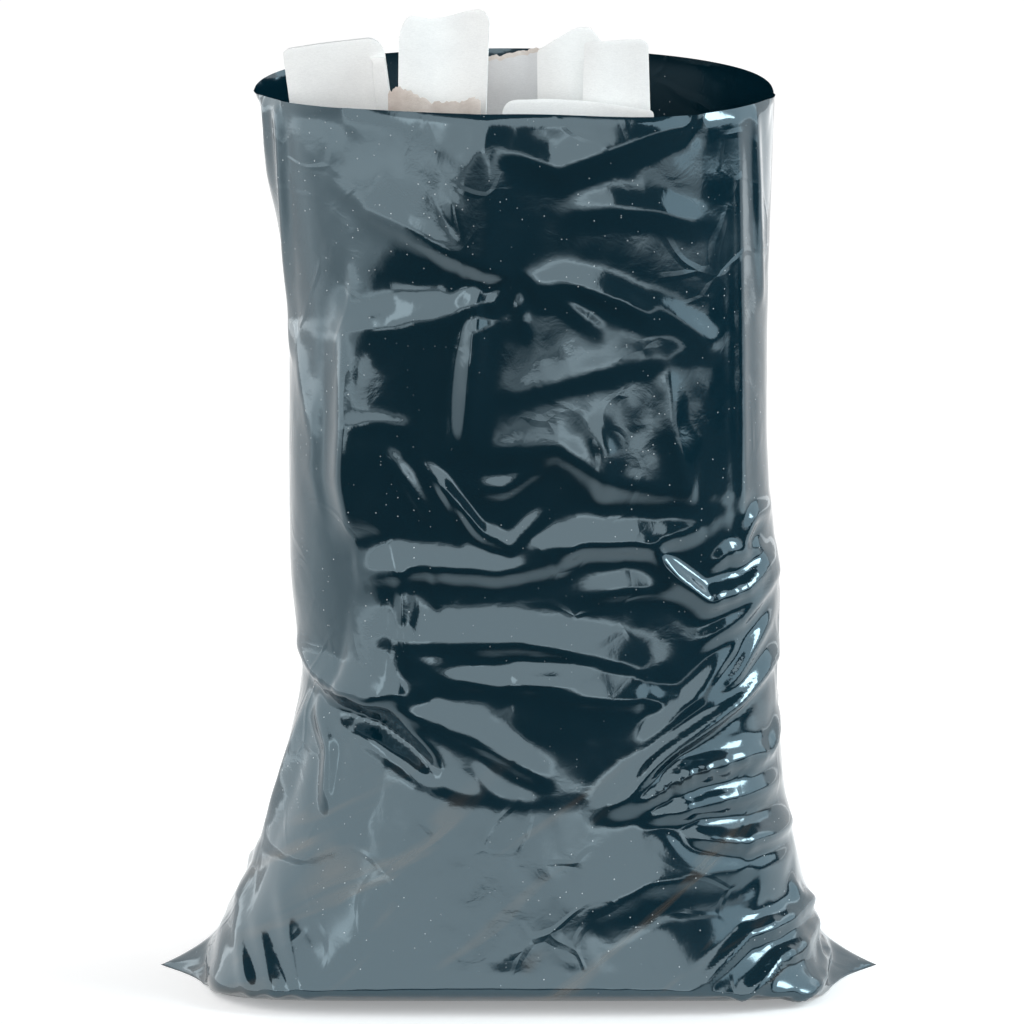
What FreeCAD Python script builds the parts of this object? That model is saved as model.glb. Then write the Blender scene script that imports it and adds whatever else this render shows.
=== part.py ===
"""A filled bin bag that stands open: a film sack on its base seal, with white card waste inside.

Millimetres. +X runs from the left ear to the right ear, +Y from the front to the back, +Z up.
The origin is on the floor, under the middle of the sack.
"""

import FreeCAD
import Part

import math
import os

from FreeCAD import Rotation, Vector

# The sack's film
FILM_WALL = 1.5
STANDING_HEIGHT = 800.0
FRONT_RIM_DROP = 10.0
BACK_RIM_RISE = 11.0
RIM_EASE = 3.0

# The body's reach from the middle, at the floor, the belly, the waist, the chest and the mouth
LEFT_FLOOR, LEFT_BELLY, LEFT_WAIST, LEFT_CHEST, LEFT_MOUTH = 280.0, 264.0, 190.0, 203.0, 234.0
RIGHT_FLOOR, RIGHT_BELLY, RIGHT_WAIST, RIGHT_CHEST, RIGHT_MOUTH = 280.0, 266.0, 229.0, 221.0, 227.0
FRONT_FLOOR, FRONT_BELLY, FRONT_WAIST, FRONT_CHEST, FRONT_MOUTH = 118.0, 170.0, 139.0, 146.0, 151.0
BACK_FLOOR, BACK_BELLY, BACK_WAIST, BACK_CHEST, BACK_MOUTH = 120.0, 172.0, 150.0, 152.0, 151.0
BELLY_HEIGHT = 68.0
WAIST_HEIGHT = 262.0
CHEST_HEIGHT = 470.0

LEFT_SIDE = (LEFT_FLOOR, LEFT_BELLY, LEFT_WAIST, LEFT_CHEST, LEFT_MOUTH)
RIGHT_SIDE = (RIGHT_FLOOR, RIGHT_BELLY, RIGHT_WAIST, RIGHT_CHEST, RIGHT_MOUTH)
FRONT_SIDE = (FRONT_FLOOR, FRONT_BELLY, FRONT_WAIST, FRONT_CHEST, FRONT_MOUTH)
BACK_SIDE = (BACK_FLOOR, BACK_BELLY, BACK_WAIST, BACK_CHEST, BACK_MOUTH)

# The two corners of the base seal, which lie flat on the floor as pointed ears
EAR_REACH = 44.0
EAR_WIDTH = 82.0
EAR_HEIGHT = 74.0

# The side pleats that run down from the mouth
PLEAT_DEPTH = 17.0
PLEAT_WIDTH = 34.0
PLEAT_FOOT = 520.0

# How finely the film is faceted: the folded stretch has closer rows than the plain mouth
FRONT_COLUMNS = 38
BACK_COLUMNS = 28
BASE_ROW_SHARES = (0.0, 0.1, 0.28, 0.55, 0.85, 1.15)
FOLDED_ROW_SPACING = 18.0
PLAIN_ROW_SPACING = 34.0
OUTLINE_STEPS = 60

# The waste: cartons in layers up to the boards that stand in the mouth
CARTON_GAP = 3.0
CARTON_ROUND = 5.0
LAYER_HEIGHTS = (142.0, 138.0, 150.0, 196.0)
LAYER_SPLITS = ((0.34, 0.68), (0.56,), (0.45,), (0.42,))
BOARD = 3.0
BOX_THICKNESS = 12.0
FOLD_ROOM = 15.0
CLEARANCE = 0.3


def blend(stations, height):
    """A value that passes smoothly through its (height, value) stations."""
    if height <= stations[0][0]:
        return stations[0][1]
    for (low, start), (high, end) in zip(stations, stations[1:]):
        if height <= high:
            share = (height - low) / (high - low)
            return start + (end - start) * share * share * (3.0 - 2.0 * share)
    return stations[-1][1]


def reach(floor, belly, waist, chest, mouth, height):
    """How far the body reaches from the middle on one side, at a height."""
    levels = (0.0, BELLY_HEIGHT, WAIST_HEIGHT, CHEST_HEIGHT, STANDING_HEIGHT)
    return blend(list(zip(levels, (floor, belly, waist, chest, mouth))), height)


def squareness(height):
    """The exponent of the oval section: round at the mouth, squarer where cartons fill the film."""
    return blend([(0.0, 2.5), (WAIST_HEIGHT, 2.7), (CHEST_HEIGHT, 2.9), (STANDING_HEIGHT, 2.15)], height)


def quarter(across, deep, power, columns, ear):
    """One quarter of a section, from the side to the front, as evenly spaced points."""
    fine = []
    for step in range(OUTLINE_STEPS + 1):
        angle = 0.5 * math.pi * step / OUTLINE_STEPS
        x = across * math.cos(angle) ** (2.0 / power)
        y = deep * math.sin(angle) ** (2.0 / power)
        fine.append((x + ear * max(0.0, 1.0 - y / EAR_WIDTH) ** 1.6, y))
    runs = [0.0]
    for here, there in zip(fine, fine[1:]):
        runs.append(runs[-1] + math.dist(here, there))
    spaced = []
    index = 0
    for column in range(columns):
        wanted = runs[-1] * column / columns
        while runs[index + 1] < wanted:
            index += 1
        share = (wanted - runs[index]) / (runs[index + 1] - runs[index])
        spaced.append(tuple(a + (b - a) * share for a, b in zip(fine[index], fine[index + 1])))
    return spaced


def section(height, ears):
    """The sack's outline at a height, from the right side by the front, the left and the back."""
    left = reach(*LEFT_SIDE, height)
    right = reach(*RIGHT_SIDE, height)
    front = reach(*FRONT_SIDE, height)
    back = reach(*BACK_SIDE, height)
    power = squareness(height)
    ear = EAR_REACH * max(0.0, 1.0 - height / EAR_HEIGHT) ** 1.7 if ears else 0.0
    half_front = FRONT_COLUMNS // 2
    half_back = BACK_COLUMNS // 2
    outline = [(x, -y) for x, y in quarter(right, front, power, half_front, ear)]
    outline += [(0.0, -front)]
    outline += [(-x, -y) for x, y in reversed(quarter(left, front, power, half_front, ear))]
    outline += [(-x, y) for x, y in quarter(left, back, power, half_back, ear)[1:]]
    outline += [(0.0, back)]
    outline += [(x, y) for x, y in reversed(quarter(right, back, power, half_back, ear)[1:])]
    return outline


def crest(path, half_width, height):
    """A fold in the film: its path as (x, z) points, its half width, and its height out of the sack."""
    return {"path": path, "half_width": half_width, "height": height}


def front_folds():
    """The folds that show on the front. A negative height is a valley."""
    fan_x, fan_z = 88.0, 182.0
    star_x, star_z = -12.0, 636.0
    return [
        crest([(-205, 284), (-168, 250), (-105, 216), (-35, 186), (58, 176)], 32, 15),
        crest([(-192, 246), (-140, 214), (-78, 184), (-10, 160)], 30, -13),
        crest([(-172, 292), (-90, 262), (10, 222)], 32, -8),
        crest([(fan_x, fan_z), (150, 240), (232, 334)], 26, 12),
        crest([(fan_x + 14, fan_z), (165, 212), (240, 262)], 26, 12),
        crest([(fan_x + 20, fan_z - 22), (172, 168), (250, 192)], 26, 10),
        crest([(120, 132), (190, 128), (256, 122)], 28, 8),
        crest([(26, 412), (110, 420), (188, 430)], 30, 11),
        crest([(8, 378), (95, 382), (160, 392)], 26, -9),
        crest([(-130, 376), (-60, 372), (40, 384)], 28, 8),
        crest([(126, 374), (176, 346), (232, 380)], 26, 12),
        crest([(-152, 618), (-84, 616), (star_x, star_z)], 26, 8),
        crest([(star_x, star_z), (60, 628), (150, 596), (182, 560)], 26, 7),
        crest([(star_x, star_z + 5), (star_x + 8, star_z - 48)], 26, 9),
        crest([(-44, 612), (-46, 560), (-40, 500)], 22, 8),
        crest([(-150, 600), (-158, 500), (-148, 410), (-172, 350)], 30, 8),
        crest([(-76, 462), (-40, 440), (2, 398)], 26, 9),
        crest([(196, 775), (200, 610), (200, 440)], 26, 8),
        crest([(60, 716), (120, 712), (172, 690)], 26, 6),
        crest([(-70, 330), (40, 326), (118, 306)], 28, 8),
        crest([(-40, 282), (60, 272), (134, 268)], 26, 7),
        crest([(204, 52), (240, 78), (276, 96)], 24, 10),
        crest([(222, 18), (262, 36), (296, 34)], 20, 8),
        crest([(-258, 96), (-226, 60), (-196, 22)], 24, 10),
        crest([(-226, 190), (-206, 140), (-214, 104)], 24, 9),
        crest([(-120, 66), (40, 58), (180, 96)], 42, 5),
    ]


def back_folds():
    """The folds on the back, where the film slumps over the same cartons."""
    return [
        crest([(-206, 300), (-120, 262), (-20, 250), (70, 268)], 32, 12),
        crest([(-196, 262), (-110, 226), (-10, 216)], 28, -10),
        crest([(232, 324), (150, 268), (84, 196)], 30, 11),
        crest([(240, 250), (170, 214), (96, 160)], 30, 10),
        crest([(-150, 430), (-40, 418), (90, 432)], 30, 9),
        crest([(-128, 624), (-20, 632), (110, 620)], 28, 8),
        crest([(-60, 618), (-66, 540), (-52, 470)], 26, 7),
        crest([(90, 606), (104, 530), (92, 450)], 26, 7),
        crest([(-180, 760), (-176, 640), (-184, 520)], 26, 7),
        crest([(190, 752), (186, 640), (196, 500)], 26, 7),
        crest([(-250, 100), (-190, 66), (-140, 24)], 26, 9),
        crest([(246, 110), (200, 60), (170, 20)], 26, 9),
        crest([(-100, 120), (20, 96), (130, 128)], 38, 6),
    ]


def fold_offset(x, z, folds):
    """How far the folds move the film out, at a place on the front or the back."""
    offset = 0.0
    for fold in folds:
        nearest = fold["half_width"]
        along = 0.5
        runs = len(fold["path"]) - 1
        for index, ((ax, az), (bx, bz)) in enumerate(zip(fold["path"], fold["path"][1:])):
            share = ((x - ax) * (bx - ax) + (z - az) * (bz - az)) / ((bx - ax) ** 2 + (bz - az) ** 2)
            share = min(1.0, max(0.0, share))
            apart = math.hypot(x - ax - share * (bx - ax), z - az - share * (bz - az))
            if apart < nearest:
                nearest = apart
                along = (index + share) / runs
        taper = 0.35 + 0.65 * math.sin(math.pi * along)
        offset += fold["height"] * taper * (1.0 - nearest / fold["half_width"])
    return offset


def pleat_offset(y, z):
    """How far the gusset pleat draws the side in, at a place on either side."""
    if z <= PLEAT_FOOT:
        return 0.0
    depth = PLEAT_DEPTH * ((z - PLEAT_FOOT) / (STANDING_HEIGHT - PLEAT_FOOT)) ** 0.8
    return -depth * max(0.0, 1.0 - abs(y) / PLEAT_WIDTH)


def row_heights():
    """The heights of the facet rows: closer together where the base turns under and at the folds."""
    heights = [BELLY_HEIGHT * share for share in BASE_ROW_SHARES]
    for top, spacing in ((CHEST_HEIGHT, FOLDED_ROW_SPACING), (STANDING_HEIGHT, PLAIN_ROW_SPACING)):
        count = round((top - heights[-1]) / spacing)
        step = (top - heights[-1]) / count
        heights += [heights[-1] + step * (row + 1) for row in range(count)]
    return heights


def film_rows(ears):
    """The film's outer points, row by row, with the folds, the pleats and the sloping rim."""
    folds = {True: front_folds(), False: back_folds()}
    rows = []
    for height in row_heights():
        outline = section(height, ears)
        deepest = max(abs(y) for _, y in outline)
        ease = min(1.0, height / (0.03 * STANDING_HEIGHT))
        row = []
        for x, y in outline:
            facing = min(1.0, abs(y) / (0.3 * deepest))
            moved = fold_offset(x, height, folds[y < 0.0]) * facing
            moved = ease * (moved + pleat_offset(y, height))
            size = math.hypot(x / 1.5, y)
            rise = BACK_RIM_RISE if y > 0.0 else FRONT_RIM_DROP
            rim = rise * y / deepest * (height / STANDING_HEIGHT) ** RIM_EASE
            row.append(Vector(x + moved * x / 1.5 / size, y + moved * y / size, height + rim))
        rows.append(row)
    return rows


def inset_rows(rows):
    """The film's inner points: the wall's thickness in from the outer ones, along their normals."""
    count = len(rows[0])
    inner = []
    for level, row in enumerate(rows):
        below = rows[max(0, level - 1)]
        above = rows[min(len(rows) - 1, level + 1)]
        inset = []
        for column, point in enumerate(row):
            around = row[(column - 1) % count] - row[(column + 1) % count]
            normal = around.cross(above[column] - below[column]).normalize()
            inset.append(point - normal * FILM_WALL)
        inner.append(inset)
    inner[0] = [Vector(p.x, p.y, FILM_WALL) for p in inner[0]]
    return inner


def strip(points, lower, upper, flipped):
    """The triangles between two rows of point numbers, with each crease along the longer fold."""
    count = len(lower)
    faces = []
    for column in range(count):
        a, b = lower[column], lower[(column + 1) % count]
        c, d = upper[column], upper[(column + 1) % count]
        outward = Vector(points[a].x + points[d].x, points[a].y + points[d].y, 0)
        ridge = (points[a] + points[d] - points[b] - points[c]).dot(outward) > 0.0
        pair = [(a, d, b), (a, c, d)] if ridge else [(a, c, b), (b, c, d)]
        faces += [tuple(reversed(face)) for face in pair] if flipped else pair
    return faces


def flat_face(faces, height):
    """The flat polygon that closes the free edges of a shell at a height."""
    free = {}
    for face in faces:
        for edge in face.Edges:
            ends = [vertex.Point.z for vertex in edge.Vertexes]
            if max(abs(z - height) for z in ends) < 1e-6:
                free.setdefault(edge.hashCode(), []).append(edge)
    edges = [found[0] for found in free.values() if len(found) == 1]
    return Part.Face(Part.Wire(Part.sortEdges(edges)[0]))


def sack():
    """The film sack as one closed thin wall: outer film, inner film, the cut rim and the flat base."""
    outer = film_rows(ears=True)
    inner = inset_rows(film_rows(ears=False))
    count = len(outer[0])
    points = [point for row in outer + inner for point in row]
    numbers = [list(range(row * count, (row + 1) * count)) for row in range(len(outer) + len(inner))]
    outside = numbers[: len(outer)]
    inside = numbers[len(outer):]
    triangles = []
    for lower, upper in zip(outside, outside[1:]):
        triangles += strip(points, lower, upper, flipped=False)
    for lower, upper in zip(inside, inside[1:]):
        triangles += strip(points, lower, upper, flipped=True)
    triangles += strip(points, outside[-1], inside[-1], flipped=False)
    facets = Part.Shape()
    facets.makeShapeFromMesh((points, triangles), 0.001, False)
    faces = facets.Faces
    closing = [flat_face(faces, 0.0), flat_face(faces, FILM_WALL)]
    solid = Part.Solid(Part.Shell(faces + closing))
    return solid if solid.Volume > 0.0 else solid.reversed()


def carton(left, right, front, back, floor, height):
    """A closed card carton, as one solid with slightly rounded edges."""
    solid = Part.makeBox(right - left, back - front, height, Vector(left, front, floor))
    return solid.makeFillet(CARTON_ROUND, solid.Edges)


def clear_reach(sizes, low, high):
    """How far a carton may reach to one side between two heights, with its corners inside the film."""
    steps = 8
    heights = [low + (high - low) * step / steps for step in range(steps + 1)]
    corner = min(0.5 ** (1.0 / squareness(height)) for height in heights)
    return corner * (min(reach(*sizes, height) for height in heights) - FILM_WALL - FOLD_ROOM)


def carton_layers():
    """The packed cartons, layer on layer, each layer as wide and deep as the film leaves room for."""
    layers = (
        ("carton_base_left", "carton_base_middle", "carton_base_right"),
        ("carton_waist_left", "carton_waist_right"),
        ("carton_middle_left", "carton_middle_right"),
        ("carton_top_left", "carton_top_right"),
    )
    made = {}
    floor = FILM_WALL + CLEARANCE
    for names, splits, height in zip(layers, LAYER_SPLITS, LAYER_HEIGHTS):
        top = floor + height
        left = -clear_reach(LEFT_SIDE, floor, top)
        right = clear_reach(RIGHT_SIDE, floor, top)
        front = -clear_reach(FRONT_SIDE, floor, top)
        back = clear_reach(BACK_SIDE, floor, top)
        ends = [left] + [left + (right - left) * share for share in splits] + [right]
        for name, start, end in zip(names, ends, ends[1:]):
            made[name] = carton(start, end - CARTON_GAP, front, back, floor, height)
        floor = top
    return made, floor


def rounded_outline(corners):
    """A closed wire in the XZ plane through (x, z, radius) corners, with an arc at each corner."""
    count = len(corners)
    edges = []
    starts = []
    ends = []
    for index, (x, z, radius) in enumerate(corners):
        here = Vector(x, 0, z)
        before = Vector(corners[index - 1][0], 0, corners[index - 1][1])
        after = Vector(corners[(index + 1) % count][0], 0, corners[(index + 1) % count][1])
        to_before = (before - here).normalize()
        to_after = (after - here).normalize()
        half = 0.5 * to_before.getAngle(to_after)
        setback = radius / math.tan(half)
        starts.append(here + to_before * setback)
        ends.append(here + to_after * setback)
        middle = here + (to_before + to_after).normalize() * (radius / math.sin(half) - radius)
        edges.append(Part.Arc(starts[-1], middle, ends[-1]).toShape())
        if index:
            edges.append(Part.makeLine(ends[index - 1], starts[index]))
    edges.append(Part.makeLine(ends[-1], starts[0]))
    return Part.Wire(Part.sortEdges(edges)[0])


def board(corners, thickness, place, yaw, lean, roll, floor):
    """A piece of card that stands on the cartons: turned, leaned and rolled, then set down."""
    solid = Part.Face(rounded_outline(corners)).extrude(Vector(0, thickness, 0))
    turn = Rotation(Vector(0, 0, 1), yaw) * Rotation(Vector(1, 0, 0), lean) * Rotation(Vector(0, 1, 0), -roll)
    solid.Placement = FreeCAD.Placement(Vector(place[0], place[1], floor), turn)
    solid.translate(Vector(0, 0, floor - solid.BoundBox.ZMin))
    return solid


def boards(floor):
    """The card pieces that show in the mouth, each with its own outline, set in from the film's sides."""
    left = FILM_WALL - reach(*LEFT_SIDE, floor)
    right = reach(*RIGHT_SIDE, floor) - FILM_WALL
    front = FILM_WALL - reach(*FRONT_SIDE, floor)
    flat_box = [(44, 0, 4), (92, 0, 4), (92, 214, 13), (0, 214, 5), (0, 70, 20)]
    tall_flap = [(0, 0, 4), (80, 0, 4), (83, 236, 8), (54, 234, 60), (26, 229, 14), (12, 233, 8), (4, 228, 8)]
    peaked_flap = [(0, 0, 4), (64, 0, 4), (64, 214, 5), (50, 230, 4), (26, 219, 20), (0, 202, 8)]
    square_flap = [(0, 0, 4), (64, 0, 4), (62, 214, 7), (0, 211, 5)]
    back_sheet = [(0, 0, 4), (108, 0, 4), (108, 196, 6), (0, 190, 5)]
    front_flap = [(0, 0, 4), (118, 0, 4), (116, 171, 4), (12, 170, 10), (2, 164, 5)]
    torn_flap = [(0, 0, 4), (80, 0, 4), (82, 166, 3), (60, 172, 6), (18, 174, 8), (2, 178, 4)]
    return {
        "flat_box": board(flat_box, BOX_THICKNESS, (left + 42, front + 122), 7.0, 3.0, 8.0, floor),
        "tall_flap": board(tall_flap, BOARD, (left + 111, front + 90), -2.0, 3.0, 0.0, floor),
        "torn_flap": board(torn_flap, BOARD, (left + 104, front + 64), 2.0, 5.0, 0.0, floor),
        "peaked_flap": board(peaked_flap, BOARD, (right - 204, front + 108), 2.0, 2.0, 0.0, floor),
        "square_flap": board(square_flap, BOARD, (right - 161, front + 80), -3.0, 2.0, -1.0, floor),
        "front_flap": board(front_flap, BOARD, (right - 229, front + 52), 1.0, 4.0, 0.0, floor),
        "back_sheet": board(back_sheet, BOARD, (right - 263, front + 168), 1.0, -2.0, 0.0, floor),
    }


def main():
    os.makedirs("parts", exist_ok=True)
    pieces, packed_top = carton_layers()
    pieces.update(boards(packed_top))
    pieces["sack"] = sack()
    box = pieces["sack"].BoundBox
    middle = Vector(-box.Center.x, -box.Center.y, 0)
    for name, solid in pieces.items():
        solid.translate(middle)
        solid.exportStep(f"parts/{name}.step")
    print(f"sack {box.XLength:.1f} x {box.YLength:.1f} x {box.ZLength:.1f}, shift {middle.x:.2f}, {middle.y:.2f}")


main()
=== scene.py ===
"""A filled bin bag that stands open on a pale floor, with white card waste in its mouth."""

import math

import bpy
import numpy as np
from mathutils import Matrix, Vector


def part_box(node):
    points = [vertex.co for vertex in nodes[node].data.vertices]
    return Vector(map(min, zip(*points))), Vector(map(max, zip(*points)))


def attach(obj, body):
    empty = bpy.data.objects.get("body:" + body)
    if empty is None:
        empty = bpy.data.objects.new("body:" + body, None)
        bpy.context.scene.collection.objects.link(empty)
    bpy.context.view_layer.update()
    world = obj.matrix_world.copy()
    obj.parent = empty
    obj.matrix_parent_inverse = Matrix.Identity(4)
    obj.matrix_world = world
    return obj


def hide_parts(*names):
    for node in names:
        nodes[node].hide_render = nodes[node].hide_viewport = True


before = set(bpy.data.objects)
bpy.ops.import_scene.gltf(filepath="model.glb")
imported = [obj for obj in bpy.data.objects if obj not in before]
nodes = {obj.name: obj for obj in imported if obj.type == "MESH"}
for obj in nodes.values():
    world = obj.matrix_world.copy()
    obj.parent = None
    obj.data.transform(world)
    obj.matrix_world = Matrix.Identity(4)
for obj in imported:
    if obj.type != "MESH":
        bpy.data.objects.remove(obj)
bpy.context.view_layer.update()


# The sack's outline
# The film is blown as a tube, so each level of the standing sack is one closed outline: round at
# the open mouth, squarer over the cartons, and drawn out to two pointed ears at the weld below.
SACK_HEIGHT = 0.800
SIDE_LEVELS = np.array((0.0, 0.050, 0.090, 0.175, 0.284, 0.350, 0.470, 0.620, 0.800))
LEFT_REACH = np.array((0.278, 0.265, 0.242, 0.214, 0.189, 0.203, 0.204, 0.202, 0.233))
RIGHT_REACH = np.array((0.280, 0.268, 0.256, 0.239, 0.231, 0.236, 0.222, 0.222, 0.227))
FRONT_LEVELS = np.array((0.0, 0.010, 0.022, 0.220, 0.330, 0.400, 0.470, 0.800))
FRONT_REACH = np.array((0.118, 0.160, 0.181, 0.150, 0.137, 0.135, 0.144, 0.151))
BACK_LEVELS = np.array((0.0, 0.022, 0.045, 0.068, 0.110, 0.165, 0.262, 0.470, 0.800))
BACK_REACH = np.array((0.119, 0.133, 0.158, 0.171, 0.169, 0.161, 0.150, 0.152, 0.152))
FRONT_CORNERS = np.array((0.0, 0.050, 0.090, 0.284, 0.470, 0.800))
FRONT_SQUARENESS = np.array((6.0, 3.4, 2.8, 2.7, 2.9, 2.15))
BACK_CORNERS = np.array((0.0, 0.262, 0.470, 0.800))
BACK_SQUARENESS = np.array((2.5, 2.7, 2.9, 2.15))
EAR_REACH, EAR_WIDTH, EAR_HEIGHT = 0.046, 0.082, 0.042
EAR_POINT, EAR_SLOPE = 1.6, 1.7
TRACE_STEPS = 240
ROW_EASE = 1.15
ROWS, FRONT_QUARTER, BACK_QUARTER = 61, 32, 18


def slope(height, levels, values):
    """The value at a height on straight slopes between the levels, rounded off where they meet."""
    around = height + np.clip(0.3 * height, 0.004, 0.035) * np.linspace(-1.0, 1.0, 9)
    return np.interp(around, levels, values).mean()


def quarter_outline(across, deep, power, ear, columns):
    """A quarter of an outline, from its side to its front or back, with even steps along it."""
    angle = np.linspace(0.0, 0.5 * math.pi, TRACE_STEPS)
    x = across * np.cos(angle).clip(0.0) ** (2.0 / power)
    y = deep * np.sin(angle) ** (2.0 / power)
    x = x + ear * np.clip(1.0 - y / EAR_WIDTH, 0.0, 1.0) ** EAR_POINT
    run = np.concatenate(([0.0], np.cumsum(np.hypot(np.diff(x), np.diff(y)))))
    steps = np.linspace(0.0, run[-1], columns + 1)
    return np.stack((np.interp(steps, run, x), np.interp(steps, run, y)), axis=-1)


def sack_outline(fineness):
    """The smooth sack as rows of points. Each row starts at the back and goes by the right side."""
    share = np.linspace(0.0, 1.0, ROWS * fineness + 1)
    heights = SACK_HEIGHT * share ** ROW_EASE
    rows = []
    for height in heights:
        left, right = (slope(height, SIDE_LEVELS, reach) for reach in (LEFT_REACH, RIGHT_REACH))
        front = slope(height, FRONT_LEVELS, FRONT_REACH)
        back = slope(height, BACK_LEVELS, BACK_REACH)
        power = slope(height, FRONT_CORNERS, FRONT_SQUARENESS)
        back_power = slope(height, BACK_CORNERS, BACK_SQUARENESS)
        ear = EAR_REACH * max(0.0, 1.0 - height / EAR_HEIGHT) ** EAR_SLOPE
        back_right = quarter_outline(right, back, back_power, ear, BACK_QUARTER * fineness)[::-1]
        front_right = quarter_outline(right, front, power, ear, FRONT_QUARTER * fineness)
        front_left = quarter_outline(left, front, power, ear, FRONT_QUARTER * fineness)[::-1]
        back_left = quarter_outline(left, back, back_power, ear, BACK_QUARTER * fineness)
        outline = np.concatenate((
            back_right[:-1],
            front_right[:-1] * (1, -1),
            front_left[:-1] * (-1, -1),
            back_left[:-1] * (-1, 1),
        ))
        rows.append(np.column_stack((outline, np.full(len(outline), height))))
    return np.array(rows)


def outward(grid):
    """The outward normals of a grid of points."""
    along = np.roll(grid, -1, axis=1) - np.roll(grid, 1, axis=1)
    up = np.gradient(grid, axis=0)
    normal = np.cross(up, along)
    return normal / np.linalg.norm(normal, axis=-1, keepdims=True)


# The folds in the film
# Thin film can't stretch, so it gathers in sharp creases where it slumps over the waste. Each runs
# through (across, up) points in millimetres, with its width on the left and on the right of the way
# it runs, and its height out of the sack. A valley has a height below zero.
MM = 0.001
OUT_OF_REACH = 9.0


def crease(path, left, right, height):
    """One crease of the film, in metres."""
    line = np.array(path) * MM
    return {"path": line, "left": left * MM, "right": right * MM, "height": height * MM}


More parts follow.
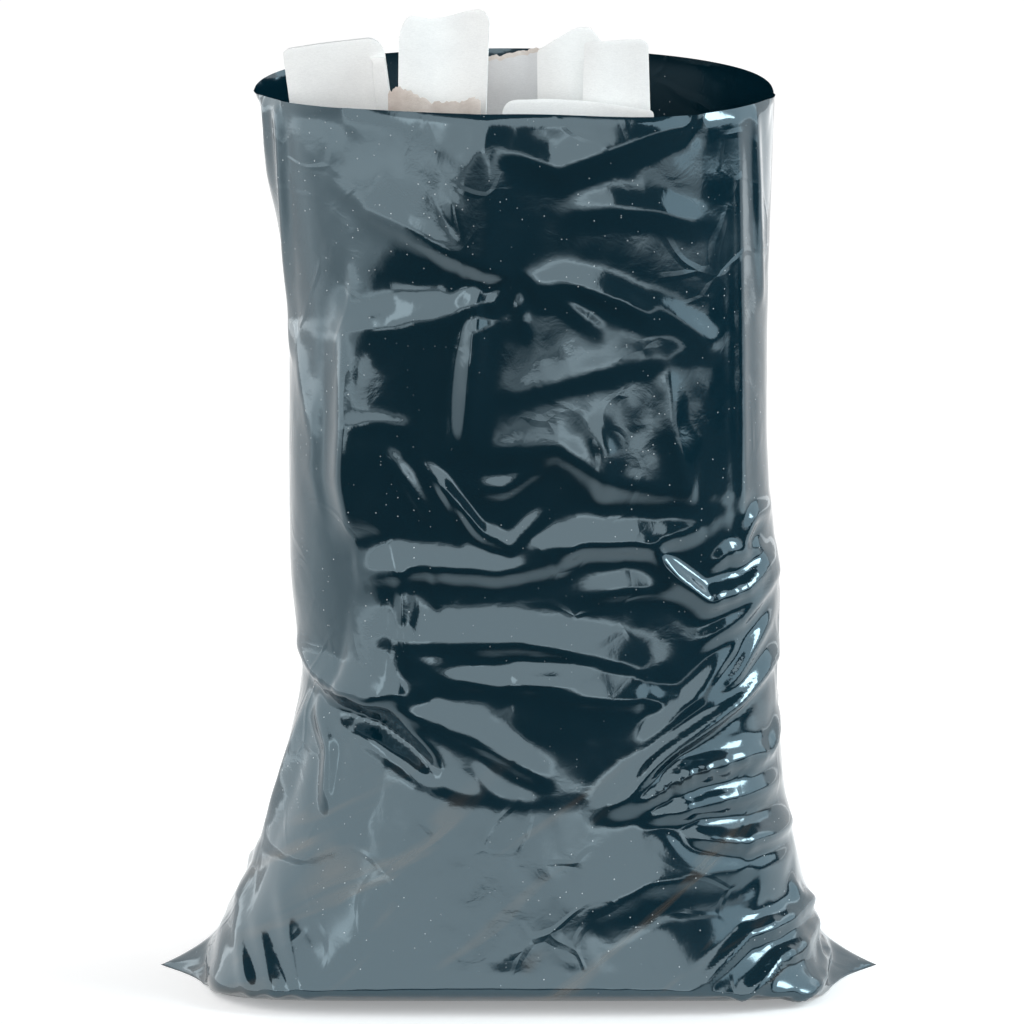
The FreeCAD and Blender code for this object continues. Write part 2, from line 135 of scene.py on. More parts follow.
FRONT_CREASES = [
    crease([(-30, 655), (-31, 734), (-30, 805)], 125, 60, 20),
    crease([(-11, 767), (36, 750), (80, 768), (145, 794)], 38, 20, 5),
    crease([(47, 713), (84, 717), (123, 713), (161, 700)], 24, 14, 2.5),
    crease([(-132, 712), (-80, 688), (-40, 668), (-8, 656)], 48, 15, 6),
    crease([(-57, 733), (-48, 712), (-34, 686)], 7, 12, 3),
    # The star pinch and the band through it
    crease([(-144, 611), (-102, 621), (-54, 624), (-31, 641)], 20, 12, 5),
    crease([(-63, 647), (-54, 655), (-15, 657), (18, 654)], 8, 7, 3),
    crease([(-146, 606), (-100, 612), (-50, 616)], 12, 110, 6),
    crease([(18, 651), (54, 647), (93, 633), (119, 617)], 24, 12, 4.5),
    crease([(119, 635), (159, 606), (173, 587)], 14, 18, 2),
    crease([(-11, 547), (72, 570), (170, 591)], 40, 6, 2),
    crease([(13, 651), (41, 633), (73, 610)], 8, 8, 2.5),
    crease([(10, 650), (19, 637), (28, 632)], 4, 4, 3),
    crease([(4, 648), (2, 628), (7, 606)], 5, 5, 3),
    crease([(-7, 650), (-20, 633), (-31, 632)], 5, 7, 4),
    crease([(-46, 506), (-42, 566), (-36, 637)], 17, 26, 10),
    crease([(-146, 420), (-152, 470), (-150, 526), (-149, 622)], 21, 64, 14),
    crease([(-94, 276), (-98, 340), (-108, 420)], 66, 26, 8),
    crease([(151, 456), (135, 519), (131, 582)], 18, 23, 4),
    # The chest
    crease([(-145, 521), (-118, 524), (-92, 519)], 9, 6, 2),
    crease([(-30, 498), (36, 503), (80, 474), (156, 458)], 120, 26, 8),
    crease([(-35, 466), (-11, 468), (21, 486)], 18, 11, 4.5),
    crease([(-81, 488), (-59, 462), (-33, 427), (-7, 416), (24, 447)], 9, 8, 4.5),
    crease([(-78, 439), (-94, 468), (-110, 495)], 9, 11, 3),
    crease([(-52, 419), (-59, 451), (-68, 473)], 5, 5, 3),
    crease([(72, 459), (75, 499), (68, 526)], 11, 23, 5),
    crease([(2, 414), (54, 417), (116, 418), (163, 430)], 33, 18, 9),
    crease([(-134, 387), (-86, 396), (-16, 393), (37, 401), (52, 415)], 26, 18, 7),
    crease([(-158, 284), (-128, 280), (-98, 284)], 118, 18, 13),
    crease([(-99, 350), (-96, 377), (-101, 395)], 6, 4, 3),
    crease([(-71, 358), (-72, 378), (-75, 394)], 4, 4, 2),
    crease([(55, 371), (98, 376), (143, 375)], 23, 12, 4.5),
    # The knot at the right
    crease([(120, 411), (142, 386), (166, 366), (198, 373), (226, 393)], 11, 23, 12),
    crease([(171, 394), (187, 405), (221, 400)], 8, 7, 5),
    crease([(201, 412), (207, 433), (227, 434)], 9, 9, 5),
    crease([(161, 328), (201, 349), (236, 379)], 18, 14, 6),
    # The bands over the waist
    crease([(-103, 328), (2, 329), (72, 318), (116, 305)], 32, 16, 7),
    crease([(-105, 313), (-68, 313), (-35, 317)], 9, 7, 2.5),
    crease([(-86, 307), (-16, 293), (37, 301), (78, 307)], 13, 11, 3.5),
    crease([(20, 288), (81, 281), (141, 279)], 12, 10, 3),
    crease([(-6, 300), (52, 297), (112, 288)], 20, 112, 9),
    # The pinch at the left of the waist
    crease([(-196, 314), (-176, 290), (-152, 277), (-120, 271), (-84, 262)], 26, 9, 9),
    crease([(-84, 262), (-42, 250), (2, 224), (30, 210)], 24, 12, 4),
    crease([(-160, 266), (-128, 257), (-98, 240), (-76, 222)], 12, 14, -15),
    crease([(-160, 252), (-122, 238), (-88, 214), (-52, 201), (8, 194), (58, 200)], 14, 6, 1.5),
    crease([(-36, 224), (-30, 210), (-16, 202)], 6, 6, 2),
    crease([(-228, 129), (-208, 187), (-187, 261)], 12, 9, 7),
    crease([(-171, 182), (-166, 232), (-179, 262)], 11, 11, 5),
    # The fan at the right of the waist
    crease([(83, 187), (143, 238), (192, 271), (232, 304)], 26, 12, 13),
    crease([(92, 185), (152, 209), (223, 223)], 17, 9, 12),
    crease([(110, 179), (166, 186), (233, 191)], 14, 8, 9),
    crease([(154, 161), (199, 147), (244, 149)], 22, 8, 11),
    crease([(108, 241), (152, 275), (197, 323)], 18, 11, 5),
    crease([(161, 274), (192, 296), (225, 336)], 12, 9, 6),
    crease([(202, 206), (225, 219), (237, 250)], 7, 7, 5),
    # The belly
    crease([(64, 99), (117, 124), (179, 131), (245, 125)], 48, 40, 7),
    crease([(-228, 138), (-193, 136), (-153, 153)], 12, 12, 2),
    # The crumpled lower corners
    crease([(-272, -4), (-276, 36), (-250, 98)], 7, 24, 6),
    crease([(-229, -6), (-243, 42), (-250, 76)], 8, 12, 3),
    crease([(-208, -3), (-222, 48), (-239, 81)], 8, 14, 2.5),
    crease([(-248, 77), (-239, 110), (-228, 129)], 7, 9, 8),
    crease([(-184, 9), (-202, 67), (-211, 101)], 11, 18, 3),
    crease([(162, 35), (202, 72), (266, 79)], 11, 9, 9),
    crease([(194, 16), (229, 51), (275, 60)], 9, 8, 8),
    crease([(226, -1), (258, 22), (287, 36)], 8, 7, 7),
    crease([(243, 102), (269, 60), (281, 17)], 9, 9, 6),
    crease([(254, -8), (283, -7), (312, 6)], 6, 6, 5),
    # The pleats at the sides of the mouth
    crease([(-215, 588), (-218, 709), (-223, 797)], 5, 5, 4),
    crease([(-199, 570), (-205, 695), (-211, 792)], 5, 7, 5),
    crease([(198, 413), (196, 601), (192, 792)], 8, 10, 3),
    crease([(215, 621), (211, 711), (209, 791)], 5, 5, 4),
    crease([(-183, 503), (-191, 555), (-195, 599)], 10, 10, 2),
    crease([(-172, 433), (-181, 476), (-179, 540)], 12, 10, 2),
]

BACK_CREASES = [
    crease([(-206, 300), (-120, 262), (-20, 250), (70, 268)], 34, 16, 12),
    crease([(-196, 262), (-110, 226), (-10, 216)], 22, 14, 8),
    crease([(84, 196), (150, 268), (232, 324)], 20, 14, 10),
    crease([(96, 160), (170, 214), (240, 250)], 20, 12, 10),
    crease([(-150, 430), (-40, 418), (90, 432)], 30, 14, 10),
    crease([(-128, 624), (-20, 632), (110, 620)], 24, 12, 7),
    crease([(-60, 618), (-66, 540), (-52, 470)], 14, 14, 6),
    crease([(90, 606), (104, 530), (92, 450)], 16, 12, 6),
    crease([(-186, 520), (-176, 640), (-180, 760)], 14, 18, 6),
    crease([(196, 500), (186, 640), (190, 752)], 14, 16, 6),
    crease([(-250, 100), (-190, 66), (-140, 24)], 14, 12, 8),
    crease([(170, 20), (200, 60), (246, 110)], 14, 12, 8),
    crease([(-100, 120), (20, 96), (130, 128)], 34, 26, 6),
    crease([(-90, 350), (10, 342), (120, 356)], 26, 12, 8),
    crease([(-140, 724), (-60, 700), (20, 716)], 26, 12, 5),
]


def crease_offset(across, up, creases):
    """How far the creases move the film out: most at a crease's line, and less towards its ends."""
    offset = np.zeros_like(across)
    for fold in creases:
        path = fold["path"]
        nearest = np.full_like(across, OUT_OF_REACH)
        width = np.full_like(across, fold["left"])
        along = np.zeros_like(across)
        for index, (start, end) in enumerate(zip(path, path[1:])):
            run = end - start
            share = ((across - start[0]) * run[0] + (up - start[1]) * run[1]) / (run @ run)
            share = np.clip(share, 0.0, 1.0)
            off_x = across - start[0] - share * run[0]
            off_z = up - start[1] - share * run[1]
            apart = np.hypot(off_x, off_z)
            closer = apart < nearest
            on_left = run[0] * off_z - run[1] * off_x > 0.0
            nearest = np.where(closer, apart, nearest)
            width = np.where(closer, np.where(on_left, fold["left"], fold["right"]), width)
            along = np.where(closer, (index + share) / (len(path) - 1), along)
        taper = 0.25 + 0.75 * np.sin(math.pi * along) ** 0.6
        flank = np.clip(1.0 - nearest / width, 0.0, 1.0)
        offset += fold["height"] * taper * flank * (0.4 + 0.6 * flank)
    return offset


# The film sack
# Glossy dark blue-green polythene film about 0.04 mm thick, blown as a tube and welded at its foot.
# It settles as real film does: every thread keeps its length, and the spare film buckles.
SPARE_FILM = 0.013
BUCKLE = 0.0012
PASSES = (260, 170, 140)
STIFFNESS = (0.02, 0.012, 0.014)
HOLD = (0.02, 0.012, 0.010)
PUSH = (0.5, 0.35, 0.12)
SHEAR_PULL = 0.35
INWARD_ROOM, OUTWARD_ROOM = 0.016, 0.017
SIDE_FADE, FOOT_FADE = 0.045, 0.02
FLOOR_GAP, BASE_GAP = 0.0006, 0.0004
rng = np.random.default_rng(11)


def bump(across, up, x, z, wide, tall):
    """A soft round patch of strength 1 at its middle."""
    return np.exp(-(((across - x) / wide) ** 2) - (((up - z) / tall) ** 2))


def spare_film(grid):
    """The share of spare film across and up at each point, before it buckles."""
    x, z = grid[..., 0], grid[..., 2]
    side = np.clip(np.abs(x) / 0.22, 0.0, 1.0) ** 4
    across = SPARE_FILM + 0.035 * bump(x, z, -0.18, 0.25, 0.10, 0.09)
    across += 0.03 * bump(x, z, 0.19, 0.24, 0.10, 0.12) + 0.02 * bump(x, z, 0.26, 0.06, 0.07, 0.06)
    across += 0.02 * bump(x, z, -0.25, 0.06, 0.06, 0.07) + 0.012 * side
    up = SPARE_FILM + 0.03 * bump(x, z, 0.0, 0.36, 0.20, 0.10)
    up += 0.03 * bump(x, z, 0.20, 0.33, 0.08, 0.16) + 0.012 * bump(x, z, -0.15, 0.24, 0.12, 0.06)
    up += 0.015 * bump(x, z, 0.26, 0.06, 0.07, 0.06)
    return across[..., None], up[..., None]


def tighten(start, end, length, push, pull=0.5):
    """Bring each thread of film back to its length: pull its ends together, or push them apart."""
    span = end - start
    now = np.sqrt((span * span).sum(axis=-1, keepdims=True))
    move = span * (np.where(now > length, pull, push) * (1.0 - length / now))
    start += move
    end -= move


def stiffen(grid, strength):
    """Spread each bend over its neighbours, as the film's own thickness does."""
    bend = np.roll(grid, 1, axis=1) - 2.0 * grid + np.roll(grid, -1, axis=1)
    grid -= strength * (np.roll(bend, 1, axis=1) - 2.0 * bend + np.roll(bend, -1, axis=1))
    bend = np.zeros_like(grid)
    bend[1:-1] = grid[:-2] - 2.0 * grid[1:-1] + grid[2:]
    grid[1:-1] -= strength * (bend[:-2] - 2.0 * bend[1:-1] + bend[2:])


def smooth_noise(shape, cells):
    """Even random values that vary smoothly over a grid which closes round the sack."""
    coarse = rng.standard_normal((cells[0] + 1, cells[1]))
    coarse = np.concatenate((coarse, coarse[:, :1]), axis=1)
    rows = np.linspace(0.0, cells[0], shape[0])
    columns = np.linspace(0.0, cells[1], shape[1], endpoint=False)
    by_row = np.array([np.interp(rows, np.arange(cells[0] + 1), line) for line in coarse.T]).T
    return np.array([np.interp(columns, np.arange(cells[1] + 1), line) for line in by_row])


def finer(grid):
    """The grid with a new point between every two, on a smooth curve."""
    ahead, behind = np.roll(grid, -1, axis=1), np.roll(grid, 1, axis=1)
    further = np.roll(grid, -2, axis=1)
    wide = np.empty((grid.shape[0], grid.shape[1] * 2, 3))
    wide[:, ::2] = grid
    wide[:, 1::2] = 0.5625 * (grid + ahead) - 0.0625 * (behind + further)
    tall = np.empty((grid.shape[0] * 2 - 1, grid.shape[1] * 2, 3))
    tall[::2] = wide
    padded = np.concatenate((wide[:1], wide, wide[-1:]))
    tall[1::2] = 0.5625 * (wide[:-1] + wide[1:]) - 0.0625 * (padded[:-3] + padded[3:])
    return tall


def rim_height(x, y):
    """How far the rim stands above or below the sack's height: it dips at the front right."""
    front = -0.0065 * np.exp(-(((x - 0.14) / 0.10) ** 2)) + 0.001
    return np.where(y < 0.0, front, 0.017 * np.clip(y / 0.151, 0.0, 1.0))


def settle_film():
    """The settled film as a grid of points: coarse at first, then twice and four times as fine."""
    moved = None
    for level, passes in enumerate(PASSES):
        smooth = sack_outline(2 ** level)
        normal = outward(smooth)
        x, y, z = smooth[..., 0], smooth[..., 1], smooth[..., 2]
        across, up = spare_film(smooth)
        front, back = (crease_offset(x, z, folds) for folds in (FRONT_CREASES, BACK_CREASES))
        shift = np.where(y < 0.0, front, back)
        facing = np.clip(np.abs(y) / SIDE_FADE, 0.0, 1.0)
        foot = np.clip(z / FOOT_FADE, 0.0, 1.0)
        target = smooth + normal * (shift * facing * foot)[..., None]
        target[..., 2] += rim_height(x, y) * (z / SACK_HEIGHT) ** 3
        if moved is None:
            film = target + normal * (BUCKLE * smooth_noise(x.shape, (31, 50)))[..., None]
        else:
            film = smooth + finer(moved)
            ripple = smooth_noise(x.shape, (30 * level, 50 * level))
            film += normal * (0.3 * BUCKLE * ripple)[..., None]
        width = np.linalg.norm(np.roll(target, -1, axis=1) - target, axis=-1, keepdims=True)
        width = width * (1.0 + across)
        height = np.linalg.norm(target[1:] - target[:-1], axis=-1, keepdims=True) * (1.0 + up[1:])
        rise = np.linalg.norm(target[1:, 1:] - target[:-1, :-1], axis=-1, keepdims=True)
        fall = np.linalg.norm(target[1:, :-1] - target[:-1, 1:], axis=-1, keepdims=True)
        spare = 1.0 + 0.5 * (across + up)[1:, 1:]
        rise, fall = rise * spare, fall * spare
        hold, push = HOLD[level], PUSH[level]
        for _ in range(passes):
            tighten(film[:, 0::2], film[:, 1::2], width[:, 0::2], push)
            tighten(film[:, 1:-1:2], film[:, 2::2], width[:, 1:-1:2], push)
            tighten(film[:, -1:], film[:, :1], width[:, -1:], push)
            for first in (0, 1):
                start, end = film[first:-1:2], film[first + 1::2]
                count = min(len(start), len(end))
                tighten(start[:count], end[:count], height[first::2][:count], push)
                risen, fallen = rise[first::2][:count], fall[first::2][:count]
                tighten(start[:count, :-1], end[:count, 1:], risen, push, SHEAR_PULL)
                tighten(start[:count, 1:], end[:count, :-1], fallen, push, SHEAR_PULL)
            stiffen(film, STIFFNESS[level])
            film += normal * (hold * ((target - film) * normal).sum(axis=-1, keepdims=True))
            out = ((film - smooth) * normal).sum(axis=-1, keepdims=True)
            film += normal * (np.clip(out, -INWARD_ROOM, OUTWARD_ROOM) - out)
            film[..., 2] = np.maximum(film[..., 2], FLOOR_GAP)
            film[0] = target[0]
            film[-1, :, 2] = target[-1, :, 2]
        moved = film - smooth
    return film


film_grid = settle_film()
row_count, column_count = film_grid.shape[:2]
seam = film_grid[0] * (1.0, 0.0, 1.0)
underside = [film_grid[0] * (1.0 - share) + seam * share for share in (0.98, 0.75, 0.5, 0.25)]
underside = [row * (1.0, 1.0, 0.0) + (0.0, 0.0, BASE_GAP) for row in underside]
sack_points = np.concatenate((np.array(underside), film_grid)).reshape(-1, 3)
row_start = np.arange(row_count + len(underside) - 1)[:, None] * column_count
column = np.arange(column_count)[None, :]
corner = row_start + column
beside = row_start + (column + 1) % column_count
quads = np.stack((corner, corner + column_count, beside + column_count, beside), axis=-1)
quads = quads.reshape(-1, 4)
sack_mesh = bpy.data.meshes.new("film_sack")
sack_mesh.from_pydata(sack_points.tolist(), [], quads.tolist())
sack_mesh.validate()
sack_mesh.shade_smooth()
sack = bpy.data.objects.new("film_sack", sack_mesh)
bpy.context.scene.collection.objects.link(sack)


def add_node(tree, kind, values, links=()):
    """A shader node with its plain values set and its inputs linked from other sockets."""
    node = tree.nodes.new(kind)
    for key, value in values.items():
        if isinstance(key, str) and hasattr(node, key):
            setattr(node, key, value)
        else:
            node.inputs[key].default_value = value
    for key, socket in dict(links).items():
        tree.links.new(socket, node.inputs[key])
    return node


# Haze dulls the gloss in clouds, dust sits in small pale specks, brown streaks run up the foot, and
# the crinkle is a fine ripple with thin creases where the film is hazy.
film_wear = bpy.data.node_groups.new("film_wear", "ShaderNodeTree")
for name in ("Haze", "Dust", "Streak", "Crinkle"):
    film_wear.interface.new_socket(name, in_out="OUTPUT", socket_type="NodeSocketFloat")
spot = add_node(film_wear, "ShaderNodeTexCoord", {})
haze = add_node(film_wear, "ShaderNodeTexNoise", {"Scale": 9.0, "Detail": 3.0, "Distortion": 0.6},
                {"Vector": spot.outputs["Object"]})
haze_share = add_node(film_wear, "ShaderNodeMapRange", {"From Min": 0.50, "From Max": 0.72},
                      {"Value": haze.outputs["Fac"]})
specks = add_node(film_wear, "ShaderNodeTexVoronoi", {"Scale": 210.0, "Randomness": 1.0},
                  {"Vector": spot.outputs["Object"]})
lone = add_node(film_wear, "ShaderNodeSeparateColor", {}, {"Color": specks.outputs["Color"]})
lone_speck = add_node(film_wear, "ShaderNodeMath", {"operation": "GREATER_THAN", 1: 0.80},
                      {0: lone.outputs["Red"]})
small = add_node(film_wear, "ShaderNodeMapRange", {"From Min": 0.15, "From Max": 0.07},
                 {"Value": specks.outputs["Distance"]})
patch = add_node(film_wear, "ShaderNodeTexNoise", {"Scale": 5.0, "Detail": 1.0},
                 {"Vector": spot.outputs["Object"]})
patch_share = add_node(film_wear, "ShaderNodeMapRange", {"From Min": 0.38, "From Max": 0.56},
                       {"Value": patch.outputs["Fac"]})
speck = add_node(film_wear, "ShaderNodeMath", {"operation": "MULTIPLY"},
                 {0: lone_speck.outputs["Value"], 1: small.outputs["Result"]})
dust = add_node(film_wear, "ShaderNodeMath", {"operation": "MULTIPLY"},
                {0: speck.outputs["Value"], 1: patch_share.outputs["Result"]})
turned = add_node(film_wear, "ShaderNodeMapping",
                  {"vector_type": "TEXTURE", "Rotation": (0.0, -0.60, 0.0),
                   "Scale": (0.40, 0.40, 0.06)},
                  {"Vector": spot.outputs["Object"]})
streak = add_node(film_wear, "ShaderNodeTexNoise", {"Scale": 1.6, "Detail": 5.0, "Distortion": 0.8},
                  {"Vector": turned.outputs["Vector"]})
streak_share = add_node(film_wear, "ShaderNodeMapRange", {"From Min": 0.56, "From Max": 0.66},
                        {"Value": streak.outputs["Fac"]})
axes = add_node(film_wear, "ShaderNodeSeparateXYZ", {}, {"Vector": spot.outputs["Object"]})
low = add_node(film_wear, "ShaderNodeMapRange", {"From Min": 0.24, "From Max": 0.14},
               {"Value": axes.outputs["Z"]})
low_streak = add_node(film_wear, "ShaderNodeMath", {"operation": "MULTIPLY"},
                      {0: streak_share.outputs["Result"], 1: low.outputs["Result"]})
ripple = add_node(film_wear, "ShaderNodeTexNoise",
                  {"Scale": 44.0, "Detail": 4.0, "Roughness": 0.6, "Distortion": 0.5},
                  {"Vector": spot.outputs["Object"]})
wander = add_node(film_wear, "ShaderNodeTexNoise", {"Scale": 6.0, "Detail": 2.0},
                  {"Vector": spot.outputs["Object"]})
warped = add_node(film_wear, "ShaderNodeVectorMath",
                  {"operation": "MULTIPLY_ADD", 1: (0.22, 0.22, 0.22)},
                  {0: wander.outputs["Color"], 2: spot.outputs["Object"]})
edges = add_node(film_wear, "ShaderNodeTexVoronoi",
                 {"feature": "DISTANCE_TO_EDGE", "Scale": 13.0},
                 {"Vector": warped.outputs["Vector"]})
thin_crease = add_node(film_wear, "ShaderNodeMapRange",
                       {"From Min": 0.0, "From Max": 0.07, "To Min": 2.2, "To Max": 0.0},
                       {"Value": edges.outputs["Distance"]})
crinkle = add_node(film_wear, "ShaderNodeMath", {"operation": "MULTIPLY_ADD"},
                   {0: thin_crease.outputs["Result"], 1: haze_share.outputs["Result"],
                    2: ripple.outputs["Fac"]})
out = add_node(film_wear, "NodeGroupOutput", {})
film_wear.links.new(haze_share.outputs["Result"], out.inputs["Haze"])
film_wear.links.new(dust.outputs["Value"], out.inputs["Dust"])
film_wear.links.new(low_streak.outputs["Value"], out.inputs["Streak"])
film_wear.links.new(crinkle.outputs["Value"], out.inputs["Crinkle"])

film = bpy.data.materials.new("polythene_film")
film.use_nodes = True
shader = film.node_tree.nodes["Principled BSDF"]
shader.inputs["IOR"].default_value = 1.9
shader.inputs["Specular Tint"].default_value = (0.70, 0.90, 1.0, 1.0)
wear = add_node(film.node_tree, "ShaderNodeGroup", {"node_tree": film_wear})
clean = add_node(film.node_tree, "ShaderNodeMix",
                 {"data_type": "RGBA", "A": (0.0014, 0.0145, 0.0235, 1.0),
                  "B": (0.046, 0.039, 0.033, 1.0)},
                 {"Factor": wear.outputs["Streak"]})
dusty = add_node(film.node_tree, "ShaderNodeMix",
                 {"data_type": "RGBA", "B": (0.45, 0.48, 0.49, 1.0)},
                 {"Factor": wear.outputs["Dust"], "A": clean.outputs["Result"]})
film.node_tree.links.new(dusty.outputs["Result"], shader.inputs["Base Color"])
gloss = add_node(film.node_tree, "ShaderNodeMapRange", {"To Min": 0.09, "To Max": 0.18},
                 {"Value": wear.outputs["Haze"]})
film.node_tree.links.new(gloss.outputs["Result"], shader.inputs["Roughness"])
dents = add_node(film.node_tree, "ShaderNodeBump", {"Strength": 0.20, "Distance": 0.0010},
                 {"Height": wear.outputs["Crinkle"]})
film.node_tree.links.new(dents.outputs["Normal"], shader.inputs["Normal"])
sack_mesh.materials.append(film)
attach(sack, "root")
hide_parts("sack")


# The card
# Uncoated white paperboard, cloudy and lightly scuffed, with long fibres. Where it is torn, its
# beige core shows, rough and fluffy.
fibres = bpy.data.node_groups.new("card_fibres", "ShaderNodeTree")
fibres.interface.new_socket("Cloud", in_out="OUTPUT", socket_type="NodeSocketFloat")
fibres.interface.new_socket("Fibre", in_out="OUTPUT", socket_type="NodeSocketFloat")
place = add_node(fibres, "ShaderNodeTexCoord", {})
cloud = add_node(fibres, "ShaderNodeTexNoise", {"Scale": 34.0, "Detail": 4.0, "Roughness": 0.6},
                 {"Vector": place.outputs["Object"]})
drawn = add_node(fibres, "ShaderNodeMapping",
                 {"Scale": (420.0, 420.0, 1500.0), "Rotation": (0.0, 0.35, 0.0)},
                 {"Vector": place.outputs["Object"]})
fibre = add_node(fibres, "ShaderNodeTexNoise", {"Scale": 1.0, "Detail": 5.0, "Distortion": 1.2},
                 {"Vector": drawn.outputs["Vector"]})
result = add_node(fibres, "NodeGroupOutput", {})
fibres.links.new(cloud.outputs["Fac"], result.inputs["Cloud"])
fibres.links.new(fibre.outputs["Fac"], result.inputs["Fibre"])


def card_material(name, pale, dull, depth):
    """Paperboard between two colours, with fibres of a depth in metres."""
    material = bpy.data.materials.new(name)
    material.use_nodes = True
    tree = material.node_tree
    shader = tree.nodes["Principled BSDF"]
    shader.inputs["Roughness"].default_value = 0.8
    shader.inputs["IOR"].default_value = 1.4
    grain = add_node(tree, "ShaderNodeGroup", {"node_tree": fibres})
    patches = add_node(tree, "ShaderNodeMapRange", {"From Min": 0.35, "From Max": 0.75},
                       {"Value": grain.outputs["Cloud"]})
    base = add_node(tree, "ShaderNodeMix",
                    {"data_type": "RGBA", "A": (*pale, 1.0), "B": (*dull, 1.0)},
                    {"Factor": patches.outputs["Result"]})
    tone = add_node(tree, "ShaderNodeMapRange",
                    {"From Min": 0.3, "From Max": 0.7, "To Min": 0.93, "To Max": 1.04},
                    {"Value": grain.outputs["Fibre"]})
    colour = add_node(tree, "ShaderNodeVectorMath", {"operation": "SCALE"},
                      {0: base.outputs["Result"], "Scale": tone.outputs["Result"]})
    tree.links.new(colour.outputs["Vector"], shader.inputs["Base Color"])
    rough = add_node(tree, "ShaderNodeBump", {"Strength": 0.6, "Distance": depth},
                     {"Height": grain.outputs["Fibre"]})
    tree.links.new(rough.outputs["Normal"], shader.inputs["Normal"])
    return material


white_card = card_material("white_card", (0.83, 0.84, 0.83), (0.78, 0.79, 0.785), 0.00015)
# A darker copy of the white card: painted shade for the board that stands in shadow at the back of
# the mouth.
painted_shade_card = card_material("painted_shade_card", (0.70, 0.69, 0.69), (0.62, 0.61, 0.61), 0.0002)
torn_card = card_material("torn_card", (0.72, 0.66, 0.61), (0.50, 0.42, 0.37), 0.0008)


# The waste in the mouth
# Boards of card 1 mm thick and a flattened pack 14 mm thick, up to 250 mm tall, stand on the
# cartons in the sack. They lean a little, bow and wave, and their corners are round or torn.
BOARD_COLUMNS, BOARD_ROWS = 61, 41
THIN_BOARD = 5.0
THIN_EDGE, THICK_EDGE = 0.35, 2.0


def card_board(name, foot, top, depth, corners=(3, 3), thick=1.1, lean=0.05, bow=3.0, wave=1.0,
               torn=0, material=white_card):
    """A board in millimetres, from two places at its foot to (across, up) points along its top."""
    across = np.array([point[0] for point in top]) * MM
    tall = np.array([point[1] for point in top]) * MM
    share = 0.5 - 0.5 * np.cos(np.linspace(0.0, math.pi, BOARD_COLUMNS))
    head = across[0] + (across[-1] - across[0]) * share
    crest = np.interp(head, across, tall)
    crest[1:-1] = 0.25 * crest[:-2] + 0.5 * crest[1:-1] + 0.25 * crest[2:]
    for edge, radius in ((head - head[0], corners[0] * MM), (head[-1] - head, corners[1] * MM)):
        inset = np.clip(radius - edge, 0.0, radius)
        crest = crest - radius + np.sqrt(radius * radius - inset * inset)
    if torn:
        coarse_tear = 0.0012 * np.sin(head * 900.0) * np.sin(head * 370.0 + 1.0)
        crest += coarse_tear + 0.0008 * np.sin(head * 2300.0)
    rise = np.linspace(0.0, 1.0, BOARD_ROWS)[:, None] ** 0.8
    floor = foot[2] * MM
    x = (foot[0] * MM * (1.0 - rise) + head[0] * rise) * (1.0 - share)
    x = x + (foot[1] * MM * (1.0 - rise) + head[-1] * rise) * share
    z = floor + (crest - floor) * rise
    middle = 0.5 * (head[0] + head[-1])
    half = 0.5 * (head[-1] - head[0])
    y = depth * MM + lean * (z - crest.max()) + bow * MM * ((x - middle) / half) ** 2 * rise
    y = y + wave * MM * np.sin((x - middle) / half * 3.4 + 0.9) * rise
    y = y + wave * MM * np.sin(z * 38.0 + x * 21.0)
    points = np.stack((x, y, z), axis=-1).reshape(-1, 3)
    rows, columns = z.shape
    first = (np.arange(rows - 1)[:, None] * columns + np.arange(columns - 1)[None, :]).ravel()
    faces = np.stack((first, first + 1, first + columns + 1, first + columns), axis=-1)
    mesh = bpy.data.meshes.new(name)
    mesh.from_pydata(points.tolist(), [], faces.tolist())
    mesh.materials.append(material)
    mesh.materials.append(torn_card)
    for face in mesh.polygons[len(mesh.polygons) - torn * (columns - 1):]:
        face.material_index = 1
    mesh.shade_smooth()
    board = bpy.data.objects.new(name, mesh)
    bpy.context.scene.collection.objects.link(board)
    body = board.modifiers.new("thickness", "SOLIDIFY")
    body.thickness = thick * MM
    body.offset = -1.0
    body.material_offset_rim = 1 if torn else 0
    edge = board.modifiers.new("edge", "BEVEL")
    edge.width = min(THIN_EDGE, 0.2 * thick) * MM if thick < THIN_BOARD else THICK_EDGE * MM
    edge.segments = 2
    edge.limit_method = "ANGLE"
    edge.angle_limit = math.radians(50.0)
    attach(board, "root")
    return board


packed_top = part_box("flat_box")[0][2] / MM
pack = card_board("flattened_pack", (-178, -88, packed_top),
                  [(-206, 841), (-174, 846), (-132, 851), (-116, 851)],
                  -40, (4, 16), thick=14.0, lean=0.06, bow=2.0, wave=0.6)
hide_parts("flat_box")
wavy = card_board("wavy_flap", (-107, -33, packed_top),
                  [(-103, 867), (-97, 874), (-91, 876), (-84, 874.5), (-76.5, 872.5), (-68, 873),
                   (-59, 875), (-47, 878.5), (-36, 881), (-25, 881)],
                  -70, (9, 11), lean=0.05, bow=-4.0, wave=2.0)
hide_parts("tall_flap")
strip = card_board("torn_strip", (-112, -33, packed_top),
                   [(-113, 811), (-104, 816), (-94, 812), (-84, 807), (-75, 802), (-45, 803),
                    (-40, 808), (-32, 803)],
                   -92, (2, 2), lean=0.05, bow=4.0, wave=2.4, torn=6)
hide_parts("torn_flap")
peaked = card_board("peaked_card", (19, 88, packed_top),
                    [(17, 841), (33, 851), (46, 858.5), (52, 861), (63, 862), (67, 857),
                     (74, 848), (88, 846)],
                    -45, (3, 3), lean=0.04, bow=3.0, wave=1.6)
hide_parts("peaked_flap")
square = card_board("square_card", (52, 121, packed_top),
                    [(58, 852), (73, 853), (92, 854.5), (114, 855)],
                    -75, (3, 8), lean=0.04, bow=2.0, wave=1.0)
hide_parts("square_flap")
